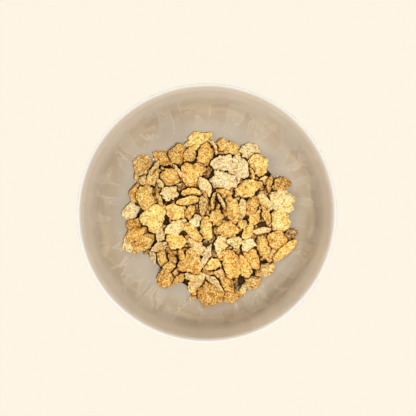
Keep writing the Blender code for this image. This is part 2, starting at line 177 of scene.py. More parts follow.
# The flakes that show from above, the lowest first: tone, shape, place x and y, length, width, turns and
# curl, in mm and degrees. A positive curl lifts the edges.
Flake = namedtuple("Flake", "tone shape x y length width turn roll pitch curl")
FLAKES = (
    Flake("tan", "bar", -48.0, 25.5, 8.0, 4.5, 78, 20, 0, 0.0),
    Flake("brown", "knob", 57.0, -14.5, 8.5, 7.0, 20, 0, 0, 0.0),
    Flake("gold", "bar", 53.2, -25.4, 20.0, 6.6, 41, 10, 0, 0.4),
    Flake("cream", "square", -53.5, -21.0, 11.0, 8.0, 78, -10, 0, 0.6),
    Flake("tan", "bar", -8.0, -57.0, 6.0, 4.2, 20, 0, 0, 0.0),
    Flake("tan", "round", -43.0, 21.0, 10.5, 8.5, -42, 10, 0, -0.8),
    Flake("pale", "bar", 24.5, -52.5, 8.5, 4.6, 68, 20, 0, 0.0),
    Flake("tan", "leaf", -43.9, 33.0, 15.5, 13.0, 66, 10, 8, -1.0),
    Flake("amber", "round", -12.0, 39.5, 13.0, 9.0, 70, 26, 0, 0.8),
    Flake("amber", "round", -47.0, 13.0, 13.5, 10.5, 38, 10, 0, -1.0),
    Flake("tan", "round", 44.0, -28.5, 11.5, 8.0, 60, 14, 0, -0.6),
    Flake("gold", "leaf", 29.8, 26.5, 10.5, 6.5, -70, 50, 0, 0.4),
    Flake("tan", "round", 39.6, -38.8, 15.0, 8.0, 24, -14, 0, -0.4),
    Flake("pale", "leaf", 4.0, 45.0, 12.5, 8.0, -56, 58, 0, 0.6),
    Flake("cream", "square", -52.3, 0.8, 12.0, 9.6, 60, 8, 6, 0.5),
    Flake("gold", "round", 9.5, 46.0, 8.5, 7.5, 30, -12, 0, 1.6),
    Flake("gold", "lobed", 16.5, 43.5, 12.0, 8.5, -10, -16, 0, 0.8),
    Flake("pink", "round", 38.0, 22.0, 6.5, 5.5, 20, 10, 0, 0.2),
    Flake("toast", "round", 16.5, -56.0, 12.0, 9.5, 12, 10, 0, 2.2),
    Flake("tan", "lobed", 31.0, -47.5, 12.5, 8.5, 16, -10, 0, -0.6),
    Flake("toast", "bar", -49.5, -7.5, 12.5, 7.0, 14, 10, 0, -1.0),
    Flake("cream", "leaf", -37.0, -29.0, 10.5, 6.0, -80, 46, 0, 0.4),
    Flake("pink", "lobed", -7.4, -49.0, 13.0, 10.0, 60, 12, 0, 0.6),
    Flake("toast", "round", 29.5, 4.5, 14.0, 9.5, 58, -24, 0, -0.8),
    Flake("tan", "round", 8.5, -41.5, 9.0, 6.5, 10, 22, 0, 0.4),
    Flake("toast", "leaf", -20.0, -40.5, 8.5, 6.0, 40, 50, 0, -0.4),
    Flake("cream", "lobed", 29.0, 42.5, 14.0, 10.5, -10, -8, 4, 0.6),
    Flake("toast", "lobed", 51.0, 19.5, 12.5, 9.5, -6, -12, 8, -1.0),
    Flake("toast", "lump", 2.0, -55.5, 16.5, 15.5, 0, 0, 0, -1.5),
    Flake("pink", "leaf", -20.0, 27.0, 13.0, 8.0, -62, 62, 0, 0.4),
    Flake("tan", "round", -35.5, 24.5, 14.0, 9.5, 68, 24, 0, -1.0),
    Flake("amber", "round", 11.0, 13.0, 9.5, 6.5, -4, -20, 0, 0.6),
    Flake("pale", "leaf", 9.5, 8.0, 12.0, 8.0, -60, 66, 0, 0.4),
    Flake("amber", "round", -48.2, -14.8, 16.5, 9.0, 22, -6, 0, -1.0),
    Flake("toast", "round", -28.2, -46.2, 12.0, 11.5, 20, 8, -6, -1.6),
    Flake("toast", "leaf", -24.0, -29.5, 11.0, 7.0, -66, -56, 0, 0.6),
    Flake("amber", "leaf", -30.2, 37.2, 15.0, 11.0, -30, -26, 0, 1.2),
    Flake("amber", "lobed", -20.0, 38.6, 15.5, 11.0, 66, 8, -8, -0.8),
    Flake("gold", "leaf", 4.5, 8.0, 12.5, 8.5, 82, 68, 0, 0.4),
    Flake("pale", "round", 38.5, 6.5, 13.5, 9.5, -58, -28, 0, 0.6),
    Flake("amber", "square", -31.0, -30.0, 14.0, 7.5, -76, 30, 0, -0.4),
    Flake("amber", "leaf", -17.5, -29.0, 11.0, 6.5, -80, 55, 0, -0.6),
    Flake("amber", "leaf", -19.0, -45.0, 12.5, 6.5, 36, 38, 0, 0.4),
    Flake("pink", "leaf", -35.6, 30.5, 10.0, 6.0, 62, 60, 0, 0.4),
    Flake("pale", "leaf", -31.5, 19.5, 9.5, 6.0, -62, 48, 0, 0.4),
    Flake("amber", "leaf", 42.5, 20.5, 13.0, 8.0, 80, 60, 0, 0.6),
    Flake("amber", "round", 37.5, -23.0, 15.5, 8.4, 102, -18, 0, -1.2),
    Flake("amber", "leaf", -11.2, 0.2, 11.5, 7.0, 76, 24, 0, 0.4),
    Flake("pale", "bar", 23.0, 2.5, 14.5, 6.0, 82, 24, 0, 0.8),
    Flake("gold", "leaf", 39.5, -1.0, 15.0, 9.0, -64, 60, 0, 0.8),
    Flake("amber", "knob", 6.0, -3.0, 10.0, 9.0, 40, 0, 0, 0.0),
    Flake("amber", "round", 11.0, -28.0, 8.5, 6.0, 20, 20, 0, 0.6),
    Flake("toast", "round", 14.0, -46.5, 14.0, 9.5, -60, 26, 0, 2.4),
    Flake("yellow", "lobed", -5.5, 49.5, 19.5, 11.5, 14, -14, 0, 1.0),
    Flake("gold", "leaf", -32.0, 9.0, 11.0, 7.0, -68, 60, 0, 0.4),
    Flake("pale", "leaf", 5.0, -47.0, 16.0, 7.4, -40, 50, 0, 0.6),
    Flake("gold", "leaf", -25.6, -36.4, 15.0, 9.0, 42, 46, 0, 0.4),
    Flake("amber", "lobed", 30.5, -31.0, 14.0, 9.5, -62, 14, 0, -0.6),
    Flake("pale", "leaf", -31.0, -14.0, 14.0, 8.5, 76, 38, 0, 0.6),
    Flake("pink", "leaf", -32.0, -22.5, 12.5, 8.0, 22, 42, 0, 0.8),
    Flake("amber", "leaf", -43.0, -20.8, 19.5, 10.5, 38, 16, 0, -0.8),
    Flake("pale", "square", -8.0, -43.0, 13.5, 6.5, -2, 20, 0, 0.4),
    Flake("gold", "lobed", -40.5, 9.0, 19.5, 12.5, -74, -10, 4, -2.0),
    Flake("cream", "lobed", 21.0, 29.5, 19.0, 13.0, 102, -4, 8, 0.8),
    Flake("gold", "knob", 23.5, -7.5, 6.0, 5.4, 0, 0, 0, 0.0),
    Flake("amber", "round", 25.2, -36.2, 18.0, 9.0, -66, -10, 0, -1.2),
    Flake("gold", "round", 3.5, -35.0, 12.5, 8.0, 12, -22, 0, 0.8),
    Flake("cream", "lobed", 10.0, 33.0, 14.0, 12.5, 40, 6, 4, 0.6),
    Flake("yellow", "round", 34.5, 32.4, 14.6, 13.8, 80, -10, -6, 0.6),
    Flake("pale", "lobed", 50.5, 8.0, 19.0, 15.5, -42, 6, -8, -1.2),
    Flake("amber", "round", 47.0, -18.5, 13.8, 12.8, 20, 8, 8, 1.4),
    Flake("pale", "round", 18.5, -19.5, 10.5, 8.5, -20, -14, 0, 1.4),
    Flake("amber", "lobed", -0.5, 38.0, 16.5, 12.0, 82, 16, -6, -2.0),
    Flake("pale", "round", -25.0, 13.2, 11.5, 10.5, 24, -8, 4, 0.8),
    Flake("yellow", "three", -35.5, -3.0, 19.0, 15.5, 52, -6, 4, 0.8),
    Flake("amber", "leaf", 16.0, 2.5, 20.0, 10.5, -76, 26, 0, -1.2),
    Flake("gold", "leaf", 32.0, -4.0, 13.0, 7.5, 64, 22, 0, -0.6),
    Flake("cream", "lobed", 27.8, -21.2, 9.6, 7.8, 10, 10, 0, 0.6),
    Flake("tan", "leaf", -1.9, 5.2, 17.0, 8.0, 84, 44, 0, -0.4),
    Flake("gold", "round", -20.5, 1.0, 14.0, 12.0, 0, -8, -6, -0.8),
    Flake("pale", "lobed", -19.8, -9.8, 16.5, 9.0, 30, 12, 0, -0.6),
    Flake("amber", "round", -25.2, 24.0, 13.0, 12.0, 12, 8, -6, -1.0),
    Flake("gold", "leaf", 28.0, -13.0, 12.5, 8.0, 66, 24, 0, -0.4),
    Flake("cream", "leaf", -0.5, -28.0, 18.0, 5.6, 66, 40, 0, 0.6),
    Flake("gold", "round", -12.0, 8.3, 16.0, 6.8, 6, 40, 0, 0.4),
    Flake("amber", "three", -9.8, 25.6, 17.0, 15.5, -90, -6, 6, -1.2),
    Flake("pink", "bar", 37.0, -12.0, 12.0, 4.4, 10, 20, 0, 0.0),
    Flake("yellow", "square", 49.5, -5.5, 15.0, 13.5, -64, 6, 6, -0.8),
    Flake("gold", "round", -10.5, 13.8, 14.5, 7.0, 0, 40, 0, 0.4),
    Flake("gold", "round", -1.0, -10.0, 16.5, 9.0, -78, 18, 0, -0.8),
    Flake("gold", "lobed", -21.0, -18.5, 12.5, 11.5, 0, 6, -6, 0.6),
    Flake("cream", "knob", -8.0, -6.0, 8.8, 6.6, 70, 14, 0, 0.8),
    Flake("pale", "leaf", -2.0, 17.0, 16.0, 9.0, -62, 30, 0, -0.8),
    Flake("pink", "leaf", -6.0, -23.0, 17.5, 8.6, -42, 18, 0, 0.4),
    Flake("gold", "lobed", 27.0, 16.5, 20.5, 10.5, 24, -6, 0, -1.8),
    Flake("cream", "lobed", 11.5, 21.5, 17.5, 11.5, -24, 8, -4, -0.8),
    Flake("pale", "leaf", 9.0, -21.0, 14.0, 9.8, 74, 8, -4, 0.4),
    Flake("gold", "lobed", -10.0, -13.0, 16.0, 8.0, -42, 30, 0, -0.6),
    Flake("amber", "three", -10.6, -33.0, 17.0, 15.0, 80, -6, 4, -0.8),
    Flake("amber", "round", 14.5, -10.5, 15.5, 11.5, 4, -8, 6, -1.8),
    Flake("amber", "round", 17.2, -35.0, 19.0, 12.0, -70, -12, 4, -2.0),
)


# Helpers
def linked_object(bm, name):
    """A new object from this bmesh, smooth and riding on the bowl's body."""
    for face in bm.faces:
        face.smooth = True
    mesh = bpy.data.meshes.new(name)
    bm.to_mesh(mesh)
    bm.free()
    obj = bpy.data.objects.new(name, mesh)
    bpy.context.scene.collection.objects.link(obj)
    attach(obj, "root")
    return obj


def new_group(name, inputs, outputs):
    """An empty shader node group with these sockets, and its input and output nodes."""
    group = bpy.data.node_groups.new(name, "ShaderNodeTree")
    for label, kind, value in inputs:
        socket = group.interface.new_socket(label, in_out="INPUT", socket_type=kind)
        socket.default_value = value
    for label, kind in outputs:
        group.interface.new_socket(label, in_out="OUTPUT", socket_type=kind)
    return group, group.nodes.new("NodeGroupInput"), group.nodes.new("NodeGroupOutput")


def add_node(tree, kind, values=None, **settings):
    node = tree.nodes.new(kind)
    for key, value in settings.items():
        setattr(node, key, value)
    for socket, value in (values or {}).items():
        node.inputs[socket].default_value = value
    return node


def new_material(name, roughness):
    """A material with its Principled shader, whose even values are set on the shader itself."""
    material = bpy.data.materials.new(name)
    material.use_nodes = True
    shader = material.node_tree.nodes["Principled BSDF"]
    shader.inputs["Roughness"].default_value = roughness
    return material, material.node_tree, shader


def feed(tree, sockets, values):
    """Links each value that is a socket, and sets each that is a number or a colour of three parts."""
    for socket, value in zip(sockets, values):
        if isinstance(value, bpy.types.NodeSocket):
            tree.links.new(value, socket)
        elif isinstance(value, (int, float)):
            socket.default_value = value
        else:
            socket.default_value = (*value, 1.0)


def mix_colours(tree, factor, first, second, blend="MIX"):
    """The colour output of a mix of two colours."""
    node = add_node(tree, "ShaderNodeMix", data_type="RGBA", blend_type=blend)
    feed(tree, (node.inputs[0], node.inputs[6], node.inputs[7]), (factor, first, second))
    return node.outputs[2]


def tinted(tree, colour, tint):
    return mix_colours(tree, 1.0, colour, tint, "MULTIPLY")


def math_node(tree, operation, first, second):
    node = add_node(tree, "ShaderNodeMath", operation=operation)
    feed(tree, node.inputs, (first, second))
    return node.outputs[0]


def times(tree, first, second):
    return math_node(tree, "MULTIPLY", first, second)


def ramp(tree, value, low, high):
    """A smooth 0 to 1 mask of a value between two limits. Low may be above high."""
    limits = {1: low, 2: high, 3: 0.0, 4: 1.0}
    node = add_node(tree, "ShaderNodeMapRange", limits, interpolation_type="SMOOTHSTEP")
    tree.links.new(value, node.inputs[0])
    return node.outputs[0]


def texture(tree, kind, place, values):
    """The noise or the distance that a texture gives at this place."""
    node = add_node(tree, kind, values)
    tree.links.new(place, node.inputs["Vector"])
    return node.outputs[0]


def add_bump(tree, shader, height, strength, depth):
    bump = add_node(tree, "ShaderNodeBump", {"Strength": strength, "Distance": depth})
    tree.links.new(height, bump.inputs["Height"])
    tree.links.new(bump.outputs["Normal"], shader.inputs["Normal"])


def colour_setting(name, description, default):
    return FloatVectorProperty(name=name, description=description, default=default, subtype="COLOR", size=3)


def length_setting(name, description, default):
    return FloatProperty(
        name=name, description=description, default=default, subtype="DISTANCE", unit="LENGTH"
    )


def power_setting(name, description, default):
    return FloatProperty(name=name, description=description, default=default, subtype="POWER")


# Bowl
def cavity_height(radius):
    """Height of the bowl's inner surface at this distance from its axis."""
    reach = np.minimum(radius / CAVITY_RADIUS, 1.0) ** CAVITY_POWER
    return FLOOR_HEIGHT + CAVITY_DEPTH * (1.0 - (1.0 - reach) ** (1.0 / CAVITY_POWER))


def cavity_points(rows):
    """Points of the inner surface from the axis to the rim, spread by angle so that the corner has most."""
    depth = BOWL_HEIGHT - WALL / 2 - FLOOR_HEIGHT
    last_angle = math.acos((1.0 - depth / CAVITY_DEPTH) ** (CAVITY_POWER / 2))
    points = []
    for row in range(rows + 1):
        angle = last_angle * row / rows
        radius = CAVITY_RADIUS * math.sin(angle) ** (2 / CAVITY_POWER)
        height = FLOOR_HEIGHT + CAVITY_DEPTH * (1.0 - math.cos(angle) ** (2 / CAVITY_POWER))
        points.append((radius, height))
    return points


def through_wall(point):
    """The point of the outer surface straight through the wall from this point of the inner one."""
    radius, height = point
    outward = (radius / CAVITY_RADIUS) ** (CAVITY_POWER - 1) / CAVITY_RADIUS
    down = (1.0 - (height - FLOOR_HEIGHT) / CAVITY_DEPTH) ** (CAVITY_POWER - 1) / CAVITY_DEPTH
    length = math.hypot(outward, down)
    return radius + WALL * outward / length, height - WALL * down / length


def bowl_profile(rows):
    """The whole section: along the floor, up the inside, over the round rim and down to the foot ring."""
    points = cavity_points(rows)
    rim_radius, rim_height = points[-1]
    rim_rows = rows // 4
    for row in range(1, rim_rows):
        angle = math.pi * (1.0 - row / rim_rows)
        radius = rim_radius + WALL / 2 * (1.0 + math.cos(angle))
        points.append((radius, rim_height + WALL / 2 * math.sin(angle)))
    outer = [through_wall(point) for point in cavity_points(rows)]
    points.extend(point for point in reversed(outer) if point[0] > FOOT_RADIUS + FOOT_WIDTH)
    inner_foot = FOOT_RADIUS - FOOT_WIDTH
    underside = FLOOR_HEIGHT - WALL
    points.append((FOOT_RADIUS, underside))
    points.append((FOOT_RADIUS - FOOT_EDGE, 0.0))
    points.append((inner_foot + FOOT_EDGE, 0.0))
    points.append((inner_foot, underside))
    points.append((0.0, underside))
    return points


def foot_corners(bm):
    """The edges round the two lower corners of the foot ring."""
    radii = (FOOT_RADIUS - FOOT_EDGE, FOOT_RADIUS - FOOT_WIDTH + FOOT_EDGE)
    return [
        edge
        for edge in bm.edges
        if all(abs(v.co.z) < CLOSE for v in edge.verts)
        and any(all(abs(v.co.to_2d().length - radius) < CLOSE for v in edge.verts) for radius in radii)
    ]


def wall_noise(tree, around, height, stretch, scale):
    """Noise over the direction from the axis and the height, which counts STRETCH times."""
    lifted = tree.nodes.new("ShaderNodeCombineXYZ")
    tree.links.new(times(tree, height, stretch), lifted.inputs["Z"])
    joined = add_node(tree, "ShaderNodeVectorMath", operation="ADD")
    tree.links.new(around, joined.inputs[0])
    tree.links.new(lifted.outputs[0], joined.inputs[1])
    values = {"Scale": scale, "Detail": 2.0, "Roughness": 0.45, "Distortion": 0.3}
    return texture(tree, "ShaderNodeTexNoise", joined.outputs[0], values)


def glaze_material(settings):
    """Taupe glaze: cloudy and paler up the wall, partly painted light, with painted shade in its corner,
    streaks and wisps of painted reflection of the flakes there, a painted highlight at the lip's edge and
    tiny specks.
    """
    material, tree, shader = new_material("glaze", settings.gloss)
    place = tree.nodes.new("ShaderNodeTexCoord").outputs["Object"]
    values = {"Scale": CLOUD_SCALE, "Detail": 3.0, "Roughness": 0.55}
    clouds = texture(tree, "ShaderNodeTexNoise", place, values)
    specks = texture(tree, "ShaderNodeTexVoronoi", place, {"Scale": SPECK_SCALE, "Randomness": 1.0})
    split = tree.nodes.new("ShaderNodeSeparateXYZ")
    tree.links.new(place, split.inputs[0])
    height = split.outputs["Z"]
    flat = add_node(tree, "ShaderNodeVectorMath", {1: (1.0, 1.0, 0.0)}, operation="MULTIPLY")
    tree.links.new(place, flat.inputs[0])
    around = add_node(tree, "ShaderNodeVectorMath", operation="NORMALIZE")
    tree.links.new(flat.outputs[0], around.inputs[0])
    reflection_runs = wall_noise(tree, around.outputs[0], height, REFLECTION_RUN_STRETCH, REFLECTION_RUN_SCALE)
    wisps = wall_noise(tree, around.outputs[0], height, WISP_STRETCH, WISP_SCALE)
    deep = [CLOUD_SHADE * part for part in settings.glaze]
    colour = mix_colours(tree, ramp(tree, clouds, *CLOUD_MASK), settings.glaze, deep)
    # Paler up the wall: thinner glaze, and painted light where the steep wall gets less light
    colour = mix_colours(tree, ramp(tree, height, *WALL_LIGHT_FADE), colour, settings.wall_glaze_and_light)
    # Painted shade over the corner, where the glaze is thick, and warm brown streaks there that are painted
    # reflections of the flakes
    corner = times(tree, ramp(tree, height, *REFLECTION_RUN_IN), ramp(tree, height, *REFLECTION_RUN_OUT))
    reflection_run = times(tree, ramp(tree, reflection_runs, *REFLECTION_RUN_MASK), corner)
    thick = math_node(tree, "ADD", times(tree, reflection_run, REFLECTION_RUN_SHARE), times(tree, corner, CORNER_SHADE_SHARE))
    colour = mix_colours(tree, thick, colour, settings.reflection_and_shade_glaze)
    # A thin pale line of painted reflection along the edge of each streak
    off_line = math_node(tree, "ABSOLUTE", math_node(tree, "SUBTRACT", reflection_runs, REFLECTION_RUN_MASK[0]), 0.0)
    line = times(tree, ramp(tree, off_line, *LINE_MASK), corner)
    colour = mix_colours(tree, times(tree, line, LINE_SHARE), colour, settings.reflection_line_glaze)
    # Pale wisps of painted reflection across the streaks
    band = times(tree, ramp(tree, height, *WISP_IN), ramp(tree, height, *WISP_OUT))
    wisp = times(tree, ramp(tree, wisps, *WISP_MASK), band)
    colour = mix_colours(tree, times(tree, wisp, WISP_SHARE), colour, settings.reflection_line_glaze)
    # The lip: as dark as the wall inside, and pale at its outer edge, where the glaze is thin and a highlight
    # is painted
    away = add_node(tree, "ShaderNodeVectorMath", operation="LENGTH")
    tree.links.new(flat.outputs[0], away.inputs[0])
    colour = mix_colours(tree, ramp(tree, height, *LIP_FADE), colour, settings.lip_glaze)
    edge = times(tree, ramp(tree, away.outputs["Value"], *EDGE_HIGHLIGHT_FADE), ramp(tree, height, *EDGE_HIGHLIGHT_IN))
    colour = mix_colours(tree, edge, colour, settings.rim_glaze_and_highlight)
    speck = times(tree, ramp(tree, specks, *SPECK_MASK), SPECK_SHARE)
    colour = mix_colours(tree, speck, colour, SPECK_COLOUR)
    tree.links.new(colour, shader.inputs["Base Color"])
    add_bump(tree, shader, clouds, *GLAZE_BUMP)
    shader.inputs["IOR"].default_value = GLAZE_IOR
    return material


class BowlSettings(bpy.types.PropertyGroup):
    steps: IntProperty(name="Steps", description="Steps round the bowl", default=192, min=24)
    rows: IntProperty(name="Rows", description="Rows of faces up the inside", default=40, min=12)
    glaze: colour_setting("Glaze", "Colour of the glaze", (0.43, 0.372, 0.292))
    # The glaze high on the wall: thinner, and paler with painted light
    wall_glaze_and_light: colour_setting("Wall glaze", "Colour of the glaze high on the wall", (0.84, 0.765, 0.66))
    # Painted shade over the corner and painted reflections of the flakes in its streaks
    reflection_and_shade_glaze: colour_setting("Run glaze", "Colour of the thick glaze in the corner", (0.39, 0.305, 0.205))
    # Painted reflections of the flakes: the pale lines and wisps
    reflection_line_glaze: colour_setting("Line glaze", "Colour of the thin pale lines and wisps", (0.60, 0.49, 0.34))
    lip_glaze: colour_setting("Lip glaze", "Colour of the glaze on the lip", (0.47, 0.41, 0.33))
    # The lip's outer edge: thin glaze with a painted highlight
    rim_glaze_and_highlight: colour_setting("Rim glaze", "Colour of the lip's outer edge", (0.70, 0.70, 0.68))
    gloss: FloatProperty(
        name="Roughness", description="Roughness of the glaze", default=0.08, min=0.0, max=1.0
    )


class CEREAL_OT_bowl(bpy.types.Operator):
    """Spin the bowl's section and glaze it"""

    bl_idname = "cereal.bowl"
    bl_label = "Glazed Bowl"

    def execute(self, context):
        settings = context.scene.cereal_bowl
        bm = bmesh.new()
        rows = [bm.verts.new((radius, 0.0, height)) for radius, height in bowl_profile(settings.rows)]
        edges = [bm.edges.new(pair) for pair in zip(rows, rows[1:])]
        bmesh.ops.spin(
            bm, geom=rows + edges, cent=(0, 0, 0), axis=(0, 0, 1), angle=2 * math.pi, steps=settings.steps,
            use_merge=True, use_duplicate=False,
        )
        bmesh.ops.remove_doubles(bm, verts=bm.verts, dist=CLOSE)
        bmesh.ops.bevel(
            bm, geom=foot_corners(bm), offset=FOOT_BEVEL, offset_type="OFFSET", affect="EDGES", segments=3,
            profile=0.5, material=-1,
        )
        bmesh.ops.recalc_face_normals(bm, faces=bm.faces)
        bowl = linked_object(bm, "glazed_bowl")
        bowl.data.materials.append(glaze_material(settings))
        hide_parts("bowl")
        return {"FINISHED"}


# Noise, in whole cells that repeat: a value at each corner, and the place of a blister in each cell
NOISE_CELLS = 48
VALUE_SEED = 5
PLACE_SEED = 6
NOISE_VALUES = np.random.default_rng(VALUE_SEED).uniform(-1.0, 1.0, (NOISE_CELLS, NOISE_CELLS, NOISE_CELLS))
NOISE_PLACES = np.random.default_rng(PLACE_SEED).uniform(-1.0, 1.0, (*NOISE_VALUES.shape, 3))
CORNERS = [np.array(corner) for corner in itertools.product((0, 1), repeat=3)]
NEIGHBOURS = [np.array(step) for step in itertools.product((-1, 0, 1), repeat=3)]
# How far one flake's place in the noise lies from the next one's, in cells
NOISE_STEP = (7.31, 3.17, 5.73)

# Fine cells in which the tops of the heap are kept, seen from above, and how many of them are averaged
TOP_CELL = 0.0005
TOP_CELLS = 320
DEPTH_CELLS = 3
DEPTH_REACH = 0.0013
BARE = -9999
# Painted shadows along the flakes' edges: how much a flake over the cell in each direction darkens it, and
# the patches in which they fade
SHADOW_WEIGHTS = {
    (0, 1): 0.5, (-1, 1): 0.3, (1, 1): 0.2, (-1, 0): 0.25, (1, 0): 0.1, (0, -1): 0.1, (0, 2): 0.25,
}
SHADOW_PATCH = 4.0
SHADOW_MEAN = 0.62
SHADOW_SWING = 1.1
SHADOW_LEAST = 0.12


# Heap
def core_reach(angle):
    """Distance from the heap's centre to the core's edge in this direction."""
    every = 2 * math.pi / len(CORE_REACH)
    return np.interp(angle, np.arange(len(CORE_REACH)) * every, CORE_REACH, period=2 * math.pi)


def from_centre(x, y):
    """0 at the heap's centre and 1 at the core's edge."""
    away_x, away_y = x - HEAP_CENTRE[0], y - HEAP_CENTRE[1]
    return np.hypot(away_x, away_y) / core_reach(np.arctan2(away_y, away_x))


def core_height(x, y):
    """Height of the top of the heap's core, which thins to an edge on the bowl's floor."""
    dome = CORE_RISE * np.clip(1.0 - from_centre(x, y) ** 2, 0.0, 1.0)
    return FLOOR_HEIGHT + CORE_EDGE + dome


def outline(shape, angle, phases):
    """Distance of the flake's edge in this direction, where 1 is an even oval."""
    power = shape.power
    edge = (np.abs(np.cos(angle)) ** power + np.abs(np.sin(angle)) ** power) ** (-1.0 / power)
    lobes = sum(np.cos(count * angle + phase) for count, phase in zip(LOBE_COUNTS, phases))
    return edge * (1.0 + shape.lobes * lobes / 2 + shape.three * np.cos(3 * angle))


def flake_flat(flake, phases, unit):
    """Moves points of the unit sphere to the flake lying flat, in mm."""
    shape = SHAPES[flake.shape]
    angle = np.arctan2(unit[:, 1], unit[:, 0])
    spread = np.hypot(unit[:, 0], unit[:, 1]) ** FACE_SPREAD
    reach = spread * outline(shape, angle, phases)
    along = reach * np.cos(angle) * flake.length / 2
    across = reach * np.sin(angle) * flake.width / 2
    height = unit[:, 2] * shape.thick / 2 + flake.curl * spread**2
    return np.stack([along, across, height], axis=1)


def flake_turned(flake, flat):
    """Turns the flat flake to the way it lies, with its middle at the origin, in metres."""
    turn = Matrix.Rotation(math.radians(flake.turn), 3, "Z")
    pitch = Matrix.Rotation(math.radians(flake.pitch), 3, "Y")
    roll = Matrix.Rotation(math.radians(flake.roll), 3, "X")
    return flat @ np.array(turn @ pitch @ roll).T * MM


def unit_sphere(sides, rows):
    around, down = np.meshgrid(np.arange(sides) / sides * 2 * math.pi, np.linspace(0.0, math.pi, rows))
    around, down = around.ravel(), down.ravel()
    return np.stack([np.sin(down) * np.cos(around), np.sin(down) * np.sin(around), np.cos(down)], axis=1)


class Ground:
    """What a flake comes to lie on: the heap so far, in cells seen from above and thin layers in each."""

    def __init__(self):
        middles = (np.arange(CELLS) - CELLS / 2 + 0.5) * CELL
        x, y = (grid.ravel() for grid in np.meshgrid(middles, middles))
        floor = cavity_height(np.hypot(x, y)) + FLOOR_GAP
        self.core = np.where(from_centre(x, y) < 1.0, np.maximum(floor, core_height(x, y)), floor)
        self.heights = self.core.copy()
        self.solid = self.layers_between(floor, self.heights)
        self.ball = unit_sphere(FINE_SIDES, FINE_ROWS)

    def layers_between(self, low, high):
        middles = (np.arange(LAYERS) + 0.5) * LAYER
        return (middles > low[:, None]) & (middles < high[:, None])

    def columns(self, flake, phases):
        """The cells under a flake with its middle at height 0, its lowest and highest points in each, and the
        height at which it clears the bowl."""
        turned = flake_turned(flake, flake_flat(flake, phases, self.ball))
        points = turned + (flake.x * MM, flake.y * MM, 0.0)
        column, line = np.floor(points[:, :2].T / CELL + CELLS / 2).astype(int)
        lows = np.full(CELLS * CELLS, np.inf)
        highs = np.full(CELLS * CELLS, -np.inf)
        np.minimum.at(lows, line * CELLS + column, points[:, 2])
        np.maximum.at(highs, line * CELLS + column, points[:, 2])
        under = np.flatnonzero(np.isfinite(lows))
        clear = np.max(cavity_height(np.hypot(points[:, 0], points[:, 1])) - points[:, 2]) + FLOOR_GAP
        return under, lows[under], highs[under], clear

    def settle(self, flake, phases):
        """How high the flake's middle lies, so that it clears the bowl and bites into the heap so far."""
        under, low, high, clear = self.columns(flake, phases)
        share = FLAT_REST - UPRIGHT_SINK * abs(math.sin(math.radians(flake.roll)))
        height = np.percentile(self.heights[under] - low, share)
        wanted = BITE * np.sum(self.layers_between(low + height, high + height))
        while height > clear:
            if np.sum(self.solid[under] & self.layers_between(low + height, high + height)) > wanted:
                break
            height -= LAYER
        height = max(height, clear)
        self.heights[under] = np.maximum(self.heights[under], high + height)
        self.solid[under] |= self.layers_between(low + height, high + height)
        return height

    def tuck(self, flake, phases):
        """How high a flake can lie in the gaps between those that show, or None where it wouldn't show."""
        under, _, high, clear = self.columns(flake, phases)
        bare = self.heights[under] <= self.core[under] + CLOSE
        if np.sum(bare) < GAP_CELLS:
            return None
        ceiling = np.where(bare, self.core[under] + GAP_RISE, self.heights[under] - GAP_COVER)
        height = np.percentile(ceiling - high, GAP_PERCENT)
        return height if height > clear else None


def flake_phases(number):
    draw = random.Random(number)
    return [draw.uniform(0.0, 2 * math.pi) for _ in LOBE_COUNTS]


# Flakes: reach and stray of a blister in its cell, size of the small beads as a share of the blisters', how
# much of the relief the blisters make, and the relief that leaves the skin where it is
BLISTER_REACH = 0.55
BLISTER_STRAY = 0.42
BEAD_SIZE = 0.45
KNOB_SHARE = 0.65
RELIEF_MIDDLE = 0.45
# Size in mm of the waves in a flake, and of the notches and nicks in its edge, with how far these cut in
SWELL_SIZE = 5.0
SWELL_STRETCH = (1.0, 1.0, 0.2)
NOTCH_SIZE = 3.6
NOTCH_DEPTH = 1.5
NICK_SIZE = 1.4
NICK_DEPTH = 0.7
EDGE_OUTSET = 0.45
# How narrow the ragged edge and the band of the edge's colour, with its painted shade and highlight, are:
# more is narrower
RAGGED_POWER = 3
RIM_POWER = 6
# Each flake's own shade, by a seeded draw
SHADE_SEED = 1000
SHADE_SPREAD = 0.08


def lattice(points, size, number):
    """Whole cells of SIZE mm round these points, with a place for each flake, and the share across them."""
    place = points / size + np.array(NOISE_STEP) * number
    cell = np.floor(place).astype(int)
    return cell, place - cell


def soft_noise(points, size, number):
    """Smooth noise from about -1 to 1 with swells SIZE mm across."""
    cell, part = lattice(points, size, number)
    ease = part * part * (3.0 - 2.0 * part)
    total = np.zeros(len(points))
    for corner in CORNERS:
        weight = np.prod(np.where(corner, ease, 1.0 - ease), axis=1)
        x, y, z = ((cell + corner) % NOISE_CELLS).T
        total += weight * NOISE_VALUES[x, y, z]
    return total


def blisters(points, size, number):
    """Round blisters about SIZE mm across: 1 at the top of each and 0 in the creases between them."""
    cell, part = lattice(points, size, number)
    nearest = np.full(len(points), np.inf)
    for step in NEIGHBOURS:
        x, y, z = ((cell + step) % NOISE_CELLS).T
        away = step + 0.5 + BLISTER_STRAY * NOISE_PLACES[x, y, z] - part
        nearest = np.minimum(nearest, np.sum(away**2, axis=1))
    return np.clip(1.0 - nearest / BLISTER_REACH, 0.0, 1.0)


def unit_flake(detail):
    """The even sphere that every flake is shaped from."""
    bm = bmesh.new()
    bmesh.ops.create_icosphere(bm, subdivisions=detail, radius=1.0)
    mesh = bpy.data.meshes.new("unit flake")
    bm.to_mesh(mesh)
    bm.free()
    return mesh


def mesh_points(mesh):
    points = np.empty(len(mesh.vertices) * 3, np.float32)
    mesh.vertices.foreach_get("co", points)
    return points.reshape(-1, 3).astype(float)


def keep_values(mesh, name, values, kind="FLOAT"):
    """Keeps a value for each point of the mesh, for its material to read."""
    attribute = mesh.attributes.new(name, kind, "POINT")
    attribute.data.foreach_set("color" if kind == "FLOAT_COLOR" else "value", np.ravel(values))


